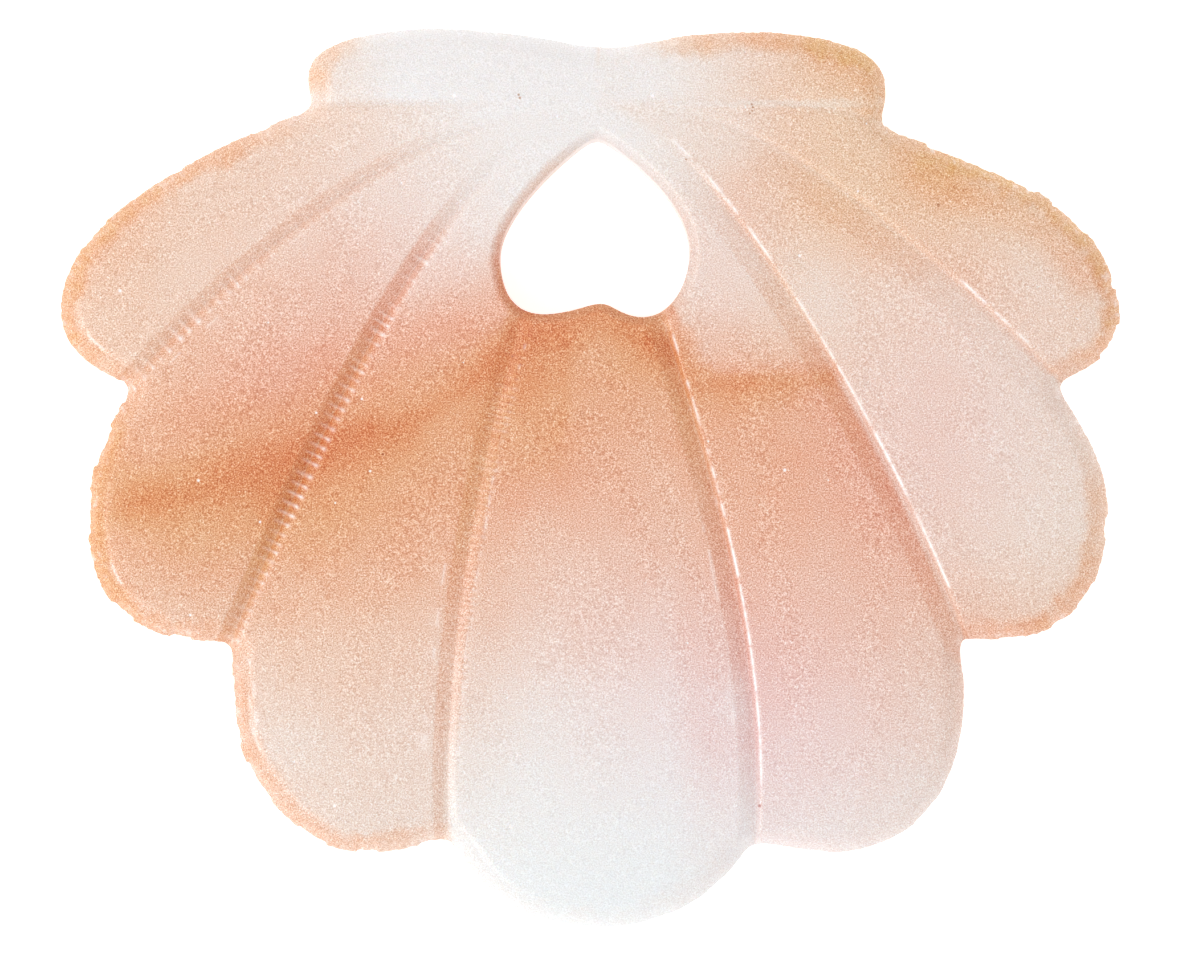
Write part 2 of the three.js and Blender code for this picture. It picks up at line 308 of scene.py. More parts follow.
def nearest(points, line):
    """For each point: its distance from the line, how far along the line its foot is,
    and the line's side it lies on (1 is left of the line's direction)."""
    along = lengths(line)
    steps = np.diff(line, axis=0)
    size = np.linalg.norm(steps, axis=1)
    distance = np.full(len(points), np.inf)
    position = np.zeros(len(points))
    side = np.ones(len(points))
    near = np.zeros(len(points), int)
    for i in range(0, len(points), CHUNK):
        part = points[i:i + CHUNK]
        squares = (part ** 2).sum(1)[:, None] + (line ** 2).sum(1) - 2 * part @ line.T
        near[i:i + CHUNK] = squares.argmin(1)
    for shift in (-1, 0):
        k = np.clip(near + shift, 0, len(steps) - 1)
        away = points - line[k]
        share = np.clip((away * steps[k]).sum(1) / size[k] ** 2, 0, 1)
        offset = away - steps[k] * share[:, None]
        gap = np.linalg.norm(offset, axis=1)
        better = gap < distance
        distance[better] = gap[better]
        position[better] = (along[k] + share * size[k])[better]
        cross = steps[k][:, 0] * away[:, 1] - steps[k][:, 1] * away[:, 0]
        side[better] = np.where(cross < 0, -1, 1)[better]
    return distance, position, side


def smooth(low, high, value):
    t = np.clip((value - low) / (high - low), 0, 1)
    return t * t * (3 - 2 * t)


def hump(value, width):
    """1 where the value is 0, falling off either side over about the width."""
    return np.exp(-(value / width) ** 2)


class Noise:
    """Smooth random values on a square lattice, the same each run."""

    def __init__(self, seed, size=256):
        self.grid = np.random.default_rng(seed).uniform(-1, 1, (size, size))
        self.size = size

    def __call__(self, x, y, cell):
        u, v = x / cell, y / cell
        i, j = np.floor(u).astype(int), np.floor(v).astype(int)
        fu, fv = u - i, v - j
        fu, fv = fu * fu * (3 - 2 * fu), fv * fv * (3 - 2 * fv)
        g, n = self.grid, self.size
        low = g[i % n, j % n] * (1 - fu) + g[(i + 1) % n, j % n] * fu
        high = g[i % n, (j + 1) % n] * (1 - fu) + g[(i + 1) % n, (j + 1) % n] * fu
        return low * (1 - fv) + high * fv

    def along(self, position, row, cell):
        """Random values along a line. Each row gives others."""
        return self(position, np.full(len(position), row * cell), cell)


noise = Noise(7)

# Numbers of the rows of random values along a line: one for each use, or the first of
# several, one for each groove or scribed line.
EDGE_MARK_ROW = 1
EDGE_DEPTH_ROW = 3
RIM_SHADE_ROW = 5
CHIP_ROW = 11
FLAKE_ROW = 13
GLINT_ROWS = 20
GROOVE_MARK_ROWS = 30
GROOVE_DEPTH_ROWS = 40
BEVEL_HIGHLIGHT_ROWS = 50
LINE_WANDER_ROWS = 60
LINE_BREAK_ROWS = 70


def wheel_marks(position, row, pitch):
    """Marks a wheel left side by side: the depth of its hollows and the brightness of
    the ridges between them, partly frosting and partly painted highlight, both from 0 to 1."""
    turns = position / pitch + 0.3 * noise.along(position, row, 0.8)
    phase = turns - np.floor(turns)
    hollow = 1 - np.abs(2 * phase - 1) ** 2.5
    return hollow, hump(np.minimum(phase, 1 - phase), 0.15)


class Place:
    """Where some points of the carved face lie: against the edge, heart and grooves."""

    def __init__(self, points):
        self.points = points
        self.x, self.y = points.T
        self.edge, self.edge_at, _ = nearest(points, closed(edge))
        self.heart, self.heart_at, _ = nearest(points, closed(heart))
        self.hub = np.linalg.norm(points - HUB, axis=1)
        self.grooves = [nearest(points, line) for line in groove_lines]

    def groove_gap(self):
        return np.min([distance for distance, _, _ in self.grooves], axis=0)


def along_edge(position, key):
    """A rib's own value at each place along the edge, changing softly at the notches."""
    value = np.zeros(len(position))
    start = 0.0
    for rib, end in zip(RIBS, rib_end_at):
        on_rib = smooth(start - 1, start + 1, position)
        on_rib *= 1 - smooth(end - 1, end + 1, position)
        value += rib[key] * on_rib
        start = end
    return value


def edge_marks(position):
    """Depth and brightness of the wheel marks at each place along the edge."""
    hollow, ridge = wheel_marks(position, EDGE_MARK_ROW, MARK_PITCH)
    uneven = np.clip(0.75 + 0.6 * noise.along(position, EDGE_DEPTH_ROW, 1.7), 0.15, 1.3)
    depth = along_edge(position, "rim") * uneven
    return depth * hollow, depth * ridge


def edge_chips(position):
    """How far small ragged chips and square-ended flakes eat into the edge."""
    fine = np.maximum(noise.along(position, CHIP_ROW, 0.23), 0)
    flakes = smooth(0.28, 0.34, noise.along(position, FLAKE_ROW, 1.1))
    return along_edge(position, "burr") * (0.6 * fine + 1.3 * flakes)


def cross_section(rib, distance, near_side):
    """Share of its depth that a groove has at these distances from its line. The near
    bank is straight. The far one is a steep wall with a narrow facet above it."""
    near = np.clip(1 - distance / rib["near"], 0, 1)
    wall = np.clip(1 - distance / (WALL_SHARE * rib["far"]), 0, 1)
    facet = np.clip(1 - distance / rib["far"], 0, 1)
    far = wall + FACET_SHARE * (facet - wall)
    return np.where(near_side, near, far)


def glints(rib, number, distance, position, near_side):
    """The broken bright line on the facet of a groove's far bank."""
    middle = rib["far"] * (1 + WALL_SHARE) / 2
    across = np.where(near_side, 0, hump(distance - middle, GLINT_HALF_WIDTH))
    uneven = np.clip(0.85 + 0.5 * noise.along(position, GLINT_ROWS + number, 0.25), 0, 1)
    bright = np.zeros(len(distance))
    for start, end, strength in rib["glint"]:
        run = smooth(start - 0.1, start + 0.1, position)
        run *= 1 - smooth(end - 0.1, end + 0.1, position)
        bright = np.maximum(bright, strength * run)
    return bright * across * uneven


def groove_highlight_lines(rib, number, distance, position, near_side):
    """Fine broken bright lines beside a groove: painted highlight."""
    offset = np.where(near_side, -distance, distance)
    bright = np.zeros(len(distance))
    for k, (middle, start, end) in enumerate(rib["lines"]):
        row = 2 * number + k
        wander = 0.05 * noise.along(position, LINE_WANDER_ROWS + row, 3.0)
        run = smooth(start, start + 1, position) * (1 - smooth(end - 1, end, position))
        run *= smooth(-0.1, 0.4, noise.along(position, LINE_BREAK_ROWS + row, 0.5))
        bright = np.maximum(bright, run * hump(offset - middle - wander, LINE_HALF_WIDTH))
    return LINE_BRIGHTNESS * bright


def groove_marks(rib, number, distance, position, near_side):
    """Depth of the wheel marks across a groove, and the brightness of their ridges, partly
    frosting and partly painted highlight, which is strongest at the far ends as a painted glint."""
    hollow, ridge = wheel_marks(position, GROOVE_MARK_ROWS + number, rib["pitch"])
    vary = np.clip(0.75 + 0.55 * noise.along(position, GROOVE_DEPTH_ROWS + number, 0.6), 0, 1.3)
    vary *= 0.25 + 0.75 * smooth(rib["regular"], rib["regular"] + 3, position)
    far_side = 1 - smooth(0.8 * rib["far"], 1.15 * rib["far"], distance)
    across = np.where(near_side, 1 - smooth(0.15, 0.45, distance), far_side)
    marks = rib["marks"] * vary * across
    tip = np.where(near_side, 0, hump(distance - 0.8 * rib["far"], 0.16))
    return marks * hollow, marks / BRIGHT_MARK * ridge * (0.28 + 0.5 * tip)


def dots(points, places):
    """1 on small round spots and 0 off them."""
    mask = np.zeros(len(points))
    for x, y, radius in places:
        gap = np.hypot(points[:, 0] - x, points[:, 1] - y)
        mask = np.maximum(mask, 1 - smooth(radius, PIT_RIM * radius, gap))
    return mask


def scattered_pits():
    """Small random pits, away from the grooves and the edge."""
    rng = np.random.default_rng(21)
    low, high = edge.min(0), edge.max(0)
    tries = rng.uniform(low, high, (8 * SCATTERED_PITS, 2))
    place = Place(tries)
    free = inside(tries, edge) & ~inside(tries, heart)
    free &= (place.edge > 0.4) & (place.heart > 1.2) & (place.groove_gap() > 0.2)
    radii = rng.uniform(0.02, 0.035, len(tries))
    return [(x, y, r) for (x, y), r in zip(tries[free], radii[free])][:SCATTERED_PITS]


def groove_carving(place):
    """What the grooves do at each point: how deep they cut, the shade painted into their banks,
    how bright their marks and painted highlights are, and how close they are, as a sum of inverse
    squares."""
    cut, bank, bright, closeness = np.zeros((4, len(place.x)))
    presence = smooth(*GROOVE_FADE, place.hub)
    for number, (rib, groove) in enumerate(zip(RIBS, place.grooves)):
        distance, position, side = groove
        near_side = side < 0
        strength = presence * min(1.0, rib["depth"] / FULL_DEPTH)
        gap = FADED_GROOVE_GAP * (1 - strength)
        closeness += 1 / np.maximum(distance ** 2 + gap ** 2, SMALLEST_SQUARE)
        profile = cross_section(rib, distance, near_side)
        hollow, ridge = groove_marks(rib, number, distance, position, near_side)
        cut = np.maximum(cut, presence * (rib["depth"] * profile + hollow))
        gleam = glints(rib, number, distance, position, near_side)
        highlight_lines = groove_highlight_lines(rib, number, distance, position, near_side)
        bright = np.max([bright, presence * ridge, gleam, highlight_lines], axis=0)
        # Painted shade across the groove's banks, where they face away from the light.
        in_bank = np.where(near_side, smooth(0, 0.15, profile), smooth(0.03, 0.15, profile))
        bank = np.maximum(bank, in_bank * presence ** 2 * rib["bank_shade"])
    return cut, bank, bright, closeness


def face_height(place):
    """Height of the carved face, and the masks that its material reads: the shade painted
    into the grooves' banks, and bright, where the surface is bruised and where highlights are
    painted."""
    x, y = place.x, place.y
    cut, bank, bright, closeness = groove_carving(place)
    closeness += 1 / np.maximum(place.edge ** 2, SMALLEST_SQUARE)
    crown = CROWN_RISE * (1 - np.exp(-1 / np.sqrt(closeness) / CROWN_REACH))
    inset = np.clip(place.edge / BEVEL_WIDTH, 0, 1)
    hollow, ridge = edge_marks(place.edge_at)
    on_bevel = 1 - smooth(0.7, 1.2, place.edge / BEVEL_WIDTH)
    # Bright strokes on the ridges of the bevel's wheel marks: partly frosting, partly painted
    # highlight.
    rim_strokes = 3.0 * ridge * on_bevel * smooth(0.15, 0.4, place.edge)
    rim_strokes *= smooth(-0.2, 0.7, noise(x, y, 0.55))
    hole_inset = np.clip(place.heart / HEART_BEVEL[0], 0, 1)
    hole_drop = HEART_BEVEL[1] * (1 - hole_inset) ** 1.3
    ripple = 0.008 * noise(x, y, 0.9) + 0.015 * noise(x + 40, y, 2.6)
    pitted = dots(place.points, pits)
    z = WALL_HEIGHT + BEVEL_RISE * inset * (2 - inset) + crown + ripple
    z -= cut + 0.5 * hollow * on_bevel + hole_drop + PIT_DEPTH * pitted
    bright = np.max([bright, rim_strokes, PIT_BRIGHTNESS * pitted, edge_highlights(place)], axis=0)
    return z, dict(bank=bank, bright=np.clip(bright, 0, 1), grain=dots(place.points, GRAINS))


def edge_highlights(place):
    """Fine lines of painted highlight beside the bevel, and light specks where the edge has
    chipped, painted as their sparkle.
    """
    crease_highlights = np.zeros(len(place.x))
    at = place.edge_at
    for number, (inset, start, end) in enumerate(BEVEL_HIGHLIGHTS):
        run = smooth(start, start + 0.5, at) * (1 - smooth(end - 0.5, end, at))
        run *= smooth(-0.3, 0.3, noise.along(at, BEVEL_HIGHLIGHT_ROWS + number, 0.8))
        crease_highlights = np.maximum(crease_highlights, run * hump(place.edge - inset, LINE_HALF_WIDTH))
    ragged = along_edge(at, "burr") / RAGGED_EDGE
    speck = smooth(0.5, 0.8, noise(place.x, place.y, 0.2))
    speck *= ragged * (1 - smooth(0.1, 0.9, place.edge))
    return np.maximum(BEVEL_HIGHLIGHT_BRIGHTNESS * crease_highlights, SPECK_BRIGHTNESS * speck)


# ---- points of the carved face ---------------------------------------------

def inside(points, loop):
    """Whether each point lies in a closed loop, by counting the crossings."""
    ahead = np.roll(loop, -1, 0)
    odd = np.zeros(len(points), bool)
    for i in range(0, len(points), CHUNK):
        x, y = points[i:i + CHUNK, 0][:, None], points[i:i + CHUNK, 1][:, None]
        spans = (loop[:, 1] > y) != (ahead[:, 1] > y)
        rise = np.where(ahead[:, 1] == loop[:, 1], 1e-12, ahead[:, 1] - loop[:, 1])
        crossing = loop[:, 0] + (y - loop[:, 1]) * (ahead[:, 0] - loop[:, 0]) / rise
        odd[i:i + CHUNK] = (spans & (crossing > x)).sum(1) % 2 == 1
    return odd


def hex_grid(step):
    low, high = edge.min(0), edge.max(0)
    columns = np.arange(low[0], high[0], step)
    rows = np.arange(low[1], high[1], step * HEX_ROW)
    grid = [
        np.stack([columns + step * 0.5 * (k % 2), np.full(len(columns), row)], 1)
        for k, row in enumerate(rows)
    ]
    return np.concatenate(grid)


def groove_rows():
    """Rows of points along each groove, one on its line and others across its banks."""
    rows = []
    for rib, line in zip(RIBS, groove_lines):
        along = np.gradient(line, axis=0)
        along /= np.linalg.norm(along, axis=1)[:, None]
        left = np.stack([-along[:, 1], along[:, 0]], 1)
        near, far = rib["near"], rib["far"]
        near_rows = np.linspace(0, near, round(near / NEAR_ROW_STEP) + 1)[1:]
        far_step = STEEP_ROW_STEP if far < STEEP_BANK else FAR_ROW_STEP
        far_rows = np.linspace(0, far, round(far / far_step) + 1)[1:]
        offsets = [0.0, *-near_rows, *[-near - more for more in OUTER_ROWS]]
        offsets += [*far_rows, *[far + more for more in OUTER_ROWS]]
        for middle, _, _ in rib["lines"]:
            extra = [middle - LINE_HALF_WIDTH, middle, middle + LINE_HALF_WIDTH]
            offsets += [at for at in extra if np.abs(np.array(offsets) - at).min() > ROW_GAP]
        rows += [(line + left * offset, abs(offset)) for offset in offsets]
    return rows


def ring_round(x, y, radius, count):
    turn = np.arange(count) * 2 * np.pi / count
    return np.stack([x + radius * np.cos(turn), y + radius * np.sin(turn)], 1)


def face_points():
    """Loose points of the carved face, close together where it is carved finely."""
    chosen = []
    for inset in RING_INSETS:
        ring = edge + inward(edge) * inset
        place = Place(ring)
        keep = place.edge > inset - RING_SLACK
        if inset > ROW_EDGE_GAP:
            keep &= (place.groove_gap() > RING_GROOVE_GAP) | (place.hub < RING_HUB_REACH)
        chosen.append(ring[keep])
    for inset in HEART_INSETS:
        ring = heart - inward(heart) * inset
        chosen.append(ring[nearest(ring, closed(heart))[0] > inset - RING_SLACK])
    for row, offset in groove_rows():
        place = Place(row)
        keep = (place.groove_gap() > offset - 0.01) & (place.hub > ROWS_FROM_HUB)
        keep &= (place.edge > ROW_EDGE_GAP) & (place.heart > ROW_HEART_GAP)
        chosen.append(row[keep])
    grid = hex_grid(FACE_STEP)
    place = Place(grid)
    keep = (place.edge > GRID_EDGE_GAP) & (place.heart > GRID_HEART_GAP)
    keep &= (place.groove_gap() > GRID_GROOVE_GAP) | (place.hub < ROWS_FROM_HUB)
    chosen.append(grid[keep])
    for x, y, radius in pits + GRAINS:
        chosen.append(ring_round(x, y, radius, 7))
        chosen.append(ring_round(x, y, PIT_RIM * radius, 9))
        chosen.append(np.array([[x, y]]))
    points = np.concatenate(chosen)
    return points[inside(points, edge) & ~inside(points, heart)]


def filled(outer, hole, loose):
    """Points and triangles that fill the outer loop less the hole, facing up."""
    points = np.concatenate([outer, hole, loose])
    loops = [(i, (i + 1) % len(outer)) for i in range(len(outer))]
    loops += [(len(outer) + i, len(outer) + (i + 1) % len(hole)) for i in range(len(hole))]
    result = delaunay_2d_cdt([Vector(p) for p in points], loops, [], 0, 1e-6)
    assert len(result[0]) == len(points), "points have merged"
    triangles = np.array(result[2])
    middle = points[triangles].mean(1)
    triangles = triangles[inside(middle, outer) & ~inside(middle, hole)]
    corners = points[triangles]
    u, v = corners[:, 1] - corners[:, 0], corners[:, 2] - corners[:, 0]
    clockwise = u[:, 0] * v[:, 1] - u[:, 1] * v[:, 0] < 0
    triangles[clockwise] = triangles[clockwise][:, ::-1]
    return points, triangles


# ---- whole mesh ------------------------------------------------------------

def displaced(points, place):
    """The points moved inwards by the wheel marks on the edge, less and less away from it."""
    depth = edge_marks(place.edge_at)[0] + edge_chips(place.edge_at)
    depth *= 1 - smooth(0, EDGE_MARK_REACH, place.edge)
    order = np.round(place.edge_at / edge_total * len(edge)).astype(int) % len(edge)
    return points + inward(edge)[order] * depth[:, None]


def band(upper, lower, flip):
    """Triangles between two closed rows of vertex numbers."""
    a, b = np.array(upper), np.roll(upper, -1)
    c, d = np.array(lower), np.roll(lower, -1)
    faces = np.concatenate([np.stack([a, c, b], 1), np.stack([b, c, d], 1)])
    return faces[:, ::-1] if flip else faces


def wall(row, loop, tops, inner, first, flip):
    """An upright wall from a row of the face down to the back, with a chamfer."""
    verts, faces = [], []
    above = row
    for level in np.linspace(1, 0, WALL_ROWS + 1)[1:]:
        verts.append(np.column_stack([loop, BACK_CHAMFER + (tops - BACK_CHAMFER) * level]))
        below = first + np.arange(len(row))
        faces.append(band(above, below, flip))
        above = below
        first += len(row)
    verts.append(np.column_stack([loop + inner * BACK_CHAMFER, np.zeros(len(row))]))
    last = first + np.arange(len(row))
    faces.append(band(above, last, flip))
    return verts, faces, last


def build_shell():
    points, faces = filled(edge, heart, face_points())
    place = Place(points)
    height, masks = face_height(place)
    moved = displaced(points, place)
    verts = [np.column_stack([moved, height])]
    polys = [faces]
    count = len(points)
    last_rows = []
    sides = (
        (np.arange(len(edge)), inward(edge), False),
        (len(edge) + np.arange(len(heart)), -inward(heart), True),
    )
    for row, inner, flip in sides:
        more, faces, last = wall(row, moved[row], height[row], inner, count, flip)
        verts += more
        polys += faces
        count = last[-1] + 1
        last_rows.append((last, more[-1][:, :2]))
    grid = hex_grid(BACK_STEP)
    place = Place(grid)
    keep = (place.edge > BACK_GAP) & (place.heart > BACK_GAP)
    keep &= inside(grid, edge) & ~inside(grid, heart)
    (outer, outer_points), (hole, hole_points) = last_rows
    _, flat = filled(outer_points, hole_points, grid[keep])
    numbers = np.concatenate([outer, hole, count + np.arange(keep.sum())])
    verts.append(np.column_stack([grid[keep], np.zeros(keep.sum())]))
    polys.append(numbers[flat][:, ::-1])
    verts = np.concatenate(verts)
    extra = len(verts) - len(points)
    masks = {name: np.concatenate([mask, np.zeros(extra)]) for name, mask in masks.items()}
    dye_and_shade, hue = dye_fields(Place(verts[:, :2]), masks.pop("bank"))
    return verts, np.concatenate(polys), dict(dye_and_shade=dye_and_shade, hue=hue, **masks)


# ---- dye in the stone, and painted shade -----------------------------------
# dye is how deeply the stone is coloured, with shade painted into it at the bevel, the grooves'
# banks
# and the hole's edge, and hue how pink the colour is. Both follow soft fields over the face:
# a band that crosses the ribs under the heart, fading down to milky white at the centre rib's tip
# and up to the ears.

# The band's upper line across the face: x, y, the dye there over that of the stone
# above it, and how far up the dye reaches.
BAND = np.array([
    (-25.0, 20.0, 0.55, 8.5),
    (-19.0, 20.8, 0.7, 8.0),
    (-15.0, 20.7, 1.12, 7.0),
    (-12.0, 23.2, 1.1, 6.5),
    (-8.0, 25.2, 1.15, 4.8),
    (-4.6, 28.2, 0.9, 3.0),
    (-3.0, 30.0, 0.6, 2.0),
    (3.2, 30.0, 0.3, 2.0),
    (4.2, 27.6, 0.3, 2.0),
    (5.5, 25.9, 0.5, 3.0),
    (12.0, 26.0, 0.5, 3.0),
])

# For each rib that the band crosses: dye just under the band, dye at its tip, and how
# far the band's dye runs down it.
RIB_DYE = {
    "middle left rib": (1.5, 0.42, 6.2),
    "lower left rib": (1.45, 0.37, 8.5),
    "centre rib": (1.35, 0.0, 12.6),
    "lower right rib": (1.15, 0.0, 15.0),
}

# How much shade is painted into each rib's bevel: darker, deeper colour where light takes a longer
# way through the rounded edge.
RIM_SHADE = {
    "left ear": 0.0,
    "upper left rib": 0.6,
    "middle left rib": 0.35,
    "lower left rib": 0.45,
    "centre rib": 0.05,
    "lower right rib": 0.06,
    "middle right rib": 0.5,
    "upper right rib": 0.78,
    "right ear": 0.6,
}

# Lines where dye has gathered, or is short: points, width and strength.
STAINS = [
    ([(-12.8, 22.8), (-9.5, 23.6), (-7.6, 24.7), (-5.2, 26.4), (-3.8, 28.3)], 0.5, 0.3),
    ([(-22.2, 20.2), (-18.9, 21.0), (-16.0, 21.5), (-13.7, 22.0)], 1.2, 0.6),
    ([(-12.6, 22.9), (-11.3, 22.6), (-9.6, 23.3)], 1.2, 0.4),
    ([(2.4, 27.6), (4.3, 26.4), (5.7, 25.8), (8.0, 25.9), (10.9, 26.1)], 0.5, 0.4),
    ([(4.6, 25.4), (6.5, 25.2), (8.5, 25.6)], 1.2, 0.35),
    ([(-1.6, 27.6), (-1.75, 25.9), (-1.6, 24.5), (-2.1, 23.2)], 0.25, 0.2),
    ([(-3.6, 26.6), (-3.2, 24.4), (-2.8, 22.2)], 1.9, 0.35),
    ([(1.2, 26.8), (2.8, 26.5)], 0.9, 0.2),
    ([(-2.4, 28.4), (0.2, 29.2), (2.0, 28.2)], 0.7, 0.15),
    ([(14.6, 36.0), (16.4, 34.8)], 1.4, 0.22),
    ([(10.6, 41.2), (12.2, 40.6), (12.7, 39.3)], 0.9, 0.32),
    ([(6.6, 35.2), (7.4, 34.8)], 1.2, 0.12),
    ([(10.4, 34.2), (12.2, 32.9), (14.6, 31.5)], 0.9, 0.12),
    ([(-21.5, 33.6), (-24.4, 30.8)], 1.2, 0.15),
    ([(-14.6, 20.4), (-13.0, 20.0)], 1.0, 0.15),
    ([(-6.4, 26.4), (-4.6, 26.5), (-2.4, 26.3)], 1.0, 0.2),
    ([(-3.6, 27.9), (-1.9, 28.0), (0.1, 28.9), (1.9, 28.0), (3.2, 27.5)], 0.8, 0.5),
    ([(-5.6, 25.5), (-6.2, 21.0), (-7.0, 15.5)], 0.6, 0.15),
    ([(15.2, 35.7), (17.0, 35.0), (19.0, 34.1), (20.9, 33.1), (22.9, 30.8)], 0.9, 0.38),
    ([(-16.4, 16.0), (-15.8, 12.5), (-15.0, 9.5)], 2.2, -0.27),
    ([(-13.5, 15.6), (-13.0, 13.4)], 1.3, -0.15),
    ([(-15.8, 20.0), (-14.8, 21.2)], 0.8, 0.35),
    ([(-12.0, 23.4), (-10.9, 23.8)], 0.6, 0.3),
    ([(-23.0, 19.4), (-21.7, 16.6), (-20.2, 15.2)], 1.6, -0.28),
    ([(-23.5, 23.8), (-23.0, 21.8)], 0.9, 0.3),
    ([(4.3, 21.0), (5.4, 15.5), (6.2, 10.5)], 1.2, -0.13),
    ([(6.5, 36.5), (8.5, 33.0), (10.5, 30.0)], 1.5, -0.12),
]


# Soft round patches: middle, radii and strength. More dye, and a pinker colour.
DYE_PATCHES = [
    (-1.0, 17.0, 6.0, 8.0, 0.13),
    (-14.5, 22.5, 5.0, 4.0, 0.14),
]
PINK_PATCHES = [
    (-8.0, 32.0, 7.0, 5.0, 0.11),
    (6.5, 8.0, 8.0, 8.0, 0.25),
    (16.0, 23.0, 6.0, 7.0, 0.14),
    (-15.0, 26.0, 5.0, 5.0, 0.07),
    (-1.0, 17.0, 7.0, 7.0, 0.05),
    (5.5, 31.0, 2.5, 5.0, 0.08),
]
PLAIN_HUE = 0.58
MOST_DYE = 2.3


def patches(place, table):
    total = np.zeros(len(place.x))
    for x, y, across, up, strength in table:
        total += strength * hump(np.hypot((place.x - x) / across, (place.y - y) / up), 1)
    return total


def rib_shares(place):
    """How far each point belongs to each rib, changing over at the grooves."""
    across = [
        np.clip(0.5 + side * distance / 0.5, 0, 1) for distance, _, side in place.grooves
    ]
    shares = [across[i - 1] * (1 - across[i]) for i in range(len(RIBS))]
    total = np.maximum(np.sum(shares, axis=0), 1e-6)
    return {rib["name"]: share / total for rib, share in zip(RIBS, shares)}


def band_dye(place, share):
    """Dye of the ribs that the band crosses, under it and over it."""
    x, y = place.x, place.y
    line, extra, reach = (np.interp(x, BAND[:, 0], BAND[:, k]) for k in (1, 2, 3))
    below = line - y + 0.5 * noise(x, y, 2.2)
    above = np.maximum(-below, 0)
    under = np.zeros(len(x))
    for name, (top, tip, run) in RIB_DYE.items():
        fade = np.exp(-(np.maximum(below - 1.5, 0) / run) ** 1.8)
        under += share[name] * (tip + (top - tip) * fade)
    plain = np.where(x < 0, 0.14 + 0.42 * smooth(2, 19, -x), 0.14 + 0.24 * smooth(0, 5, x))
    plain = plain * (0.6 + 0.4 * smooth(3, 9, place.hub))
    over = plain + extra * np.exp(-(above / reach) ** 2)
    soft = np.where(x < 2, 1.0, 0.3)
    return under + (over - under) * smooth(-soft, soft, -below)


def wing_dye(place):
    """Dye of the ribs and ears that the band doesn't reach."""
    x, y = place.x, place.y
    from_hub = 0.3 + 0.7 * smooth(3, 11, place.hub)
    far_right = 0.32 * smooth(29, 35, y) + 0.3 * (1 - smooth(13.5, 19, y))
    return {
        "upper left rib": (0.14 + 0.46 * smooth(2, 19, -x) + 0.1 * smooth(19, 23, -x)) * from_hub,
        "middle right rib": (0.5 - 0.13 * smooth(15, 21, x) + far_right) * from_hub,
        "upper right rib": (0.75 - 0.25 * smooth(16, 21, x)) * from_hub,
        "right ear": 0.1 + 0.62 * smooth(2, 11, x),
        "left ear": 0.06 + 0.2 * smooth(9, 13, -x),
    }


def rim_shade(place, share):
    """Painted shade in the bevel, darker, deeper colour where light takes a longer way through the
    rounded edge, with a ragged inner border.
    """
    x, y = place.x, place.y
    amount = sum(share[name] * extra for name, extra in RIM_SHADE.items())
    amount *= 0.35 + 0.65 * smooth(0.5, 3.5, place.groove_gap())
    amount *= np.where(share["upper left rib"] > 0.5, 0.4 + 0.6 * smooth(13, 21, -x), 1)
    amount *= np.where(share["upper right rib"] > 0.5, 0.4 + 0.6 * smooth(14, 19, x), 1)
    amount *= np.where(share["middle right rib"] > 0.5, 0.2 + 0.8 * smooth(23, 19, y), 1)
    amount *= np.where(share["right ear"] > 0.5, smooth(1, 5, x), 1)
    amount += 0.5 * share["left ear"] * smooth(10.8, 12.8, -x) * smooth(38.8, 40.2, y)
    amount *= 1 + 0.3 * noise.along(place.edge_at, RIM_SHADE_ROW, 0.4)
    ragged = place.edge + 0.2 * noise(x, y, 0.5) + 0.2 * noise(x + 9, y, 1.6)
    return amount * (1 - smooth(0.5, 1.25, ragged))


def heart_shade_and_dye(place):
    """Darker colour at the edge of the hole, most of it low on its left side, which faces away
    from the light: painted shade, partly the stone's own orange.
    """
    at, gap = place.heart_at, place.heart
    along = 0.3 * smooth(0.3, 3, at) * (1 - smooth(9.5, 11, at)) + 0.5 * hump(at - 9, 2.2)
    band = 1 - smooth(0.1, 0.6, gap + 0.1 * noise(place.x, place.y, 0.5))
    return along * band + 0.4 * hump(at - 9.6, 1.8) * hump(gap, 0.12)


def dye_fields(place, bank):
    """Dye, with painted shade added in, and hue at each point. The groove mask is the shade
    painted into the grooves' banks.
    """
    x, y = place.x, place.y
    share = rib_shares(place)
    dye_and_shade = band_dye(place, share)
    for name, value in wing_dye(place).items():
        dye_and_shade += (value - dye_and_shade) * share[name]
    for line, width, strength in STAINS:
        gap = nearest(place.points, spaced(np.array(line), 40))[0]
        dye_and_shade += strength * hump(gap, width)
    # rim is the shade painted into the bevel.
    rim = rim_shade(place, share)
    # The hole's edge is darker low on its left side: painted shade, partly the stone's own orange.
    dye_and_shade += rim + heart_shade_and_dye(place)
    # Painted shade in the grooves' banks.
    dye_and_shade += bank * smooth(0.1, 0.5, dye_and_shade)
    dye_and_shade += patches(place, DYE_PATCHES)

    hue = PLAIN_HUE + patches(place, PINK_PATCHES) + 0.05 * smooth(19, 8, y)
    hue -= 0.06 * smooth(7, 12, x) * smooth(30, 35, y)
    # The painted shade in the grooves' banks and in the bevel is also less pink.
    hue -= 0.055 * smooth(1.1, 1.6, dye_and_shade) + 0.04 * bank + 0.05 * rim
    return np.clip(dye_and_shade, 0, MOST_DYE), hue


# ---- the piece -------------------------------------------------------------

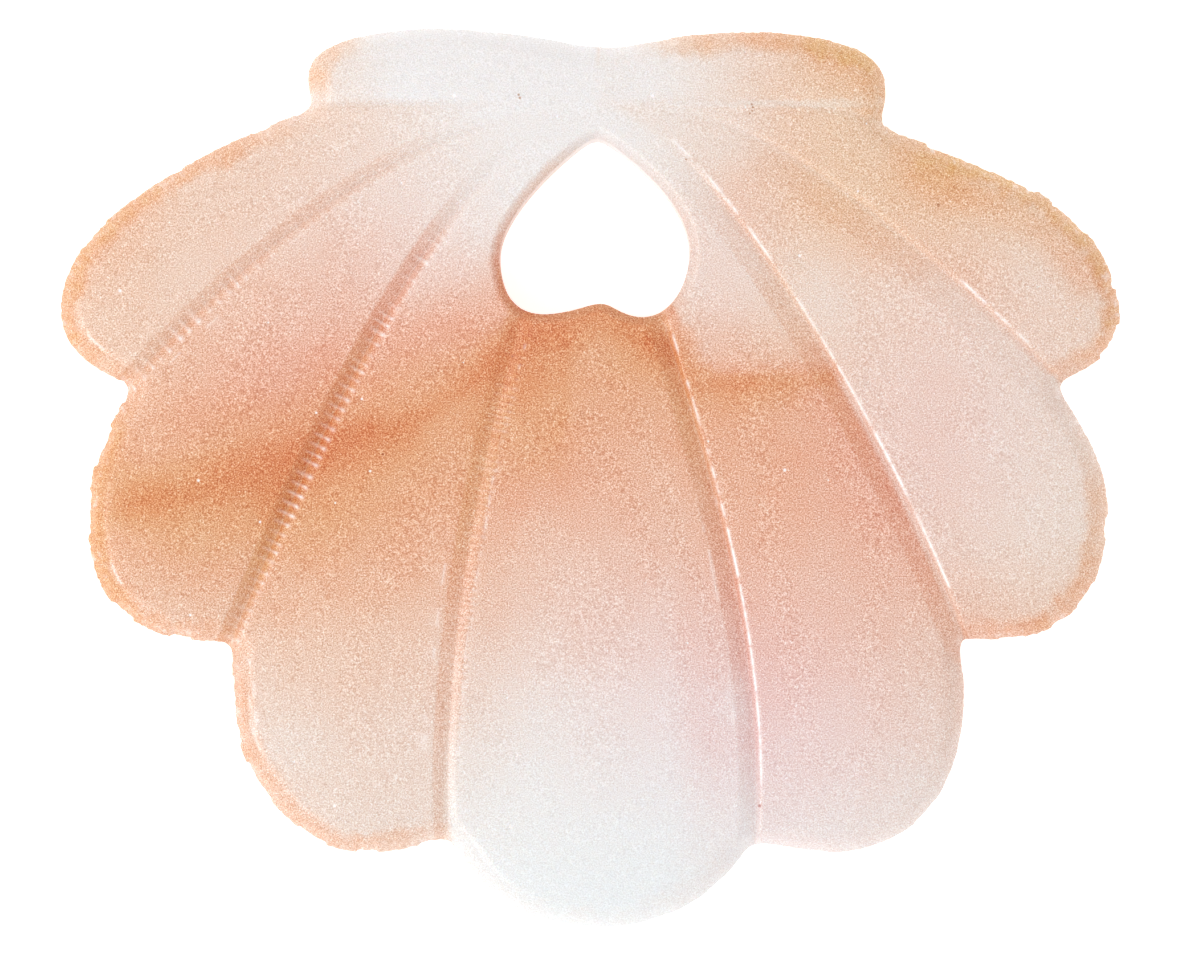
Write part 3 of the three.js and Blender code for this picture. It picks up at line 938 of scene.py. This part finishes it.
def make_shell():
    verts, faces, fields = build_shell()
    verts[:, :2] -= edge_middle
    mesh = bpy.data.meshes.new("carved_shell")
    mesh.vertices.add(len(verts))
    mesh.vertices.foreach_set("co", (verts * MM).ravel())
    mesh.loops.add(faces.size)
    mesh.loops.foreach_set("vertex_index", faces.ravel())
    mesh.polygons.add(len(faces))
    mesh.polygons.foreach_set("loop_start", np.arange(0, faces.size, 3))
    mesh.update(calc_edges=True)
    mesh.validate()
    mesh.shade_smooth()
    for name, values in fields.items():
        layer = mesh.attributes.new(name, "FLOAT", "POINT")
        layer.data.foreach_set("value", values.astype(np.float32))
    piece = bpy.data.objects.new("carved_shell", mesh)
    bpy.context.collection.objects.link(piece)
    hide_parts(NODE)
    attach(piece, "root")
    return piece


# ---- material --------------------------------------------------------------

class Graph:
    """A material's nodes, made and linked by short calls."""

    def __init__(self, material):
        material.use_nodes = True
        self.tree = material.node_tree
        self.tree.nodes.clear()

    def feed(self, socket, value):
        if isinstance(value, bpy.types.NodeSocket):
            self.tree.links.new(value, socket)
        else:
            socket.default_value = value

    def node(self, kind, settings=None, **inputs):
        """A node with settings, and inputs by name (i0 is the first input)."""
        made = self.tree.nodes.new(kind)
        for name, value in (settings or {}).items():
            setattr(made, name, value)
        for name, value in inputs.items():
            by_number = name[0] == "i" and name[1:].isdigit()
            self.feed(made.inputs[int(name[1:]) if by_number else name.replace("_", " ")], value)
        return made

    def math(self, operation, *values):
        made = self.tree.nodes.new("ShaderNodeMath")
        made.operation = operation
        for socket, value in zip(made.inputs, values):
            self.feed(socket, value)
        return made.outputs[0]

    def attribute(self, name):
        return self.node("ShaderNodeAttribute", {"attribute_name": name}).outputs["Fac"]


MILKY = (0.745, 0.76, 0.775)    # the stone's colour where it holds no dye
BRUISED_AND_HIGHLIGHT = (0.95, 0.93, 0.93)    # and where it is bruised, and the painted highlight where it catches the light
RED_SHARE = 0.05                # of the dye's density, in red light
WARMTH = 0.0012                 # how much more red is passed per millimetre up
DEEP = 1.0                      # beyond this much dye the red is held back more,
BROWNING = 0.06                 # by this share for each unit of dye
GRAIN_DYE = 0.6                 # a dark grain counts as this much more dye
GRAIN_SHADE = 0.35              # and takes away this share of the light
STIPPLE_SCALE = 16.0            # cells of the fine grain in a millimetre
CLOUD_SCALE = 0.5
STIPPLE_IN_DYE = 1.2            # how strongly the fine grain varies the dye
CLOUD_IN_DYE = 0.3
HAZE_STIPPLE = (0.35, 0.25)     # and the haze: for each unit of dye up to HAZED, and plain
HAZED = 0.8
ROUGHNESS = 0.32
BRIGHT_ROUGHNESS = 0.17
GLOW_RADIUS = (1.0, 0.7, 0.5)   # how far red, green and blue light spread in the stone


def stone_colour(g, millimetres, stipple, bright):
    """The stone's colour: milky white seen through the dye and the shade painted into it, with
    bruises and painted highlights on it.
    """
    cloud = g.node("ShaderNodeTexNoise", i0=millimetres, Scale=CLOUD_SCALE, Detail=4.0)
    dye_and_shade, grain = g.attribute("dye_and_shade"), g.attribute("grain")
    uneven = g.math("MULTIPLY_ADD", stipple, STIPPLE_IN_DYE, 1.0)
    clouded = g.math("MULTIPLY_ADD", cloud.outputs["Fac"], CLOUD_IN_DYE, 1 - CLOUD_IN_DYE / 2)
    density = g.math("MULTIPLY", dye_and_shade, g.math("MULTIPLY", uneven, clouded))
    density = g.math("MULTIPLY_ADD", grain, GRAIN_DYE, density)
    haze = g.math("MULTIPLY_ADD", g.math("MINIMUM", dye_and_shade, HAZED), *HAZE_STIPPLE)
    haze = g.math("MULTIPLY_ADD", g.math("MULTIPLY", haze, stipple), -1.0, 1.0)
    haze = g.math("MULTIPLY", haze, g.math("MULTIPLY_ADD", grain, -GRAIN_SHADE, 1.0))
    channels = []
    for share, milky in zip((RED_SHARE, g.attribute("hue"), 1.0), MILKY):
        passed = g.math("EXPONENT", g.math("MULTIPLY", g.math("MULTIPLY", density, share), -1.0))
        channels.append(g.math("MULTIPLY", g.math("MULTIPLY", passed, milky), haze))
    height = g.node("ShaderNodeSeparateXYZ", i0=millimetres).outputs["Y"]
    warmth = g.math("MULTIPLY_ADD", height, WARMTH, 1.0)
    deep = g.math("MAXIMUM", g.math("SUBTRACT", dye_and_shade, DEEP), 0.0)
    browned = g.math("EXPONENT", g.math("MULTIPLY", deep, -BROWNING))
    channels[0] = g.math("MULTIPLY", channels[0], g.math("MULTIPLY", warmth, browned))
    dyed = g.node("ShaderNodeCombineColor", **dict(zip(("Red", "Green", "Blue"), channels)))
    # The bright mask mixes in bruises and painted highlights.
    mix = g.node("ShaderNodeMix", {"data_type": "RGBA"})
    g.feed(mix.inputs["Factor"], bright)
    g.feed(mix.inputs["A"], dyed.outputs[0])
    g.feed(mix.inputs["B"], (*BRUISED_AND_HIGHLIGHT, 1))
    return mix.outputs["Result"]


def stone_material():
    material = bpy.data.materials.new("agate")
    g = Graph(material)
    place = g.node("ShaderNodeTexCoord").outputs["Object"]
    scaled = g.node("ShaderNodeVectorMath", {"operation": "SCALE"}, i0=place, Scale=1 / MM)
    millimetres = scaled.outputs[0]
    fine = g.node("ShaderNodeTexNoise", i0=millimetres, Scale=STIPPLE_SCALE, Detail=1.0)
    stipple = g.math("MULTIPLY_ADD", fine.outputs["Fac"], 2.0, -1.0)
    bright = g.attribute("bright")
    roughness = g.math("MULTIPLY_ADD", bright, BRIGHT_ROUGHNESS - ROUGHNESS, ROUGHNESS)
    bump = g.node("ShaderNodeBump", Strength=0.3, Distance=0.01 * MM, Height=stipple)
    shader = g.node(
        "ShaderNodeBsdfPrincipled",
        Base_Color=stone_colour(g, millimetres, stipple, bright),
        Roughness=roughness, Normal=bump.outputs[0],
        Subsurface_Weight=0.3, Subsurface_Radius=GLOW_RADIUS, Subsurface_Scale=0.6 * MM,
    )
    g.node("ShaderNodeOutputMaterial", Surface=shader.outputs[0])
    return material


# ---- stage, light and camera -----------------------------------------------

FRAME_WIDTH = 56.8 * MM         # what the view takes in, at the height of the edge
VIEW_CENTRE = (0.04, 21.32)     # in millimetres, like the edge
LENS = 180.0                    # in millimetres, and so is the sensor's width
SENSOR = 36.0
FLOOR_SIZE = 2.0
FLOOR_GLOW = 0.6                # keeps the floor as white as in a cut-out picture
WORLD_LIGHT = 0.95


def floor():
    bpy.ops.mesh.primitive_plane_add(size=FLOOR_SIZE, location=(0, 0, cad_low.z))
    plane = bpy.context.object
    plane.name = "floor"
    material = bpy.data.materials.new("floor_white")
    g = Graph(material)
    shader = g.node(
        "ShaderNodeBsdfPrincipled", Base_Color=(0.9, 0.9, 0.9, 1), Roughness=0.9,
        Emission_Color=(1, 1, 1, 1), Emission_Strength=FLOOR_GLOW,
    )
    g.node("ShaderNodeOutputMaterial", Surface=shader.outputs[0])
    plane.data.materials.append(material)


def camera():
    data = bpy.data.cameras.new("camera")
    data.lens = LENS
    data.sensor_width = SENSOR
    data.clip_start = MM
    eye = bpy.data.objects.new("camera", data)
    height = cad_low.z + WALL_HEIGHT * MM + FRAME_WIDTH * LENS / SENSOR
    x, y = (np.array(VIEW_CENTRE) - edge_middle) * MM
    eye.location = (x, y, height)
    bpy.context.collection.objects.link(eye)
    bpy.context.scene.camera = eye


def strip_light(name, place, length, width, power):
    """A long soft box that lies level and faces the origin."""
    data = bpy.data.lights.new(name, "AREA")
    data.shape = "RECTANGLE"
    data.size = length
    data.size_y = width
    data.energy = power
    lamp = bpy.data.objects.new(name, data)
    lamp.location = place
    lamp.rotation_euler = (-Vector(place)).to_track_quat("-Z", "Y").to_euler()
    bpy.context.collection.objects.link(lamp)


def lights():
    strip_light("key", (-0.205, -0.075, 0.22), length=0.26, width=0.05, power=0.35)
    world = bpy.data.worlds.new("studio")
    world.use_nodes = True
    background = world.node_tree.nodes["Background"]
    background.inputs["Color"].default_value = (1, 1, 1, 1)
    background.inputs["Strength"].default_value = WORLD_LIGHT
    bpy.context.scene.world = world
    bpy.context.scene.view_settings.view_transform = "Standard"


pits = PITS + scattered_pits()
camera()
floor()
lights()
shell = make_shell()
shell.data.materials.append(stone_material())
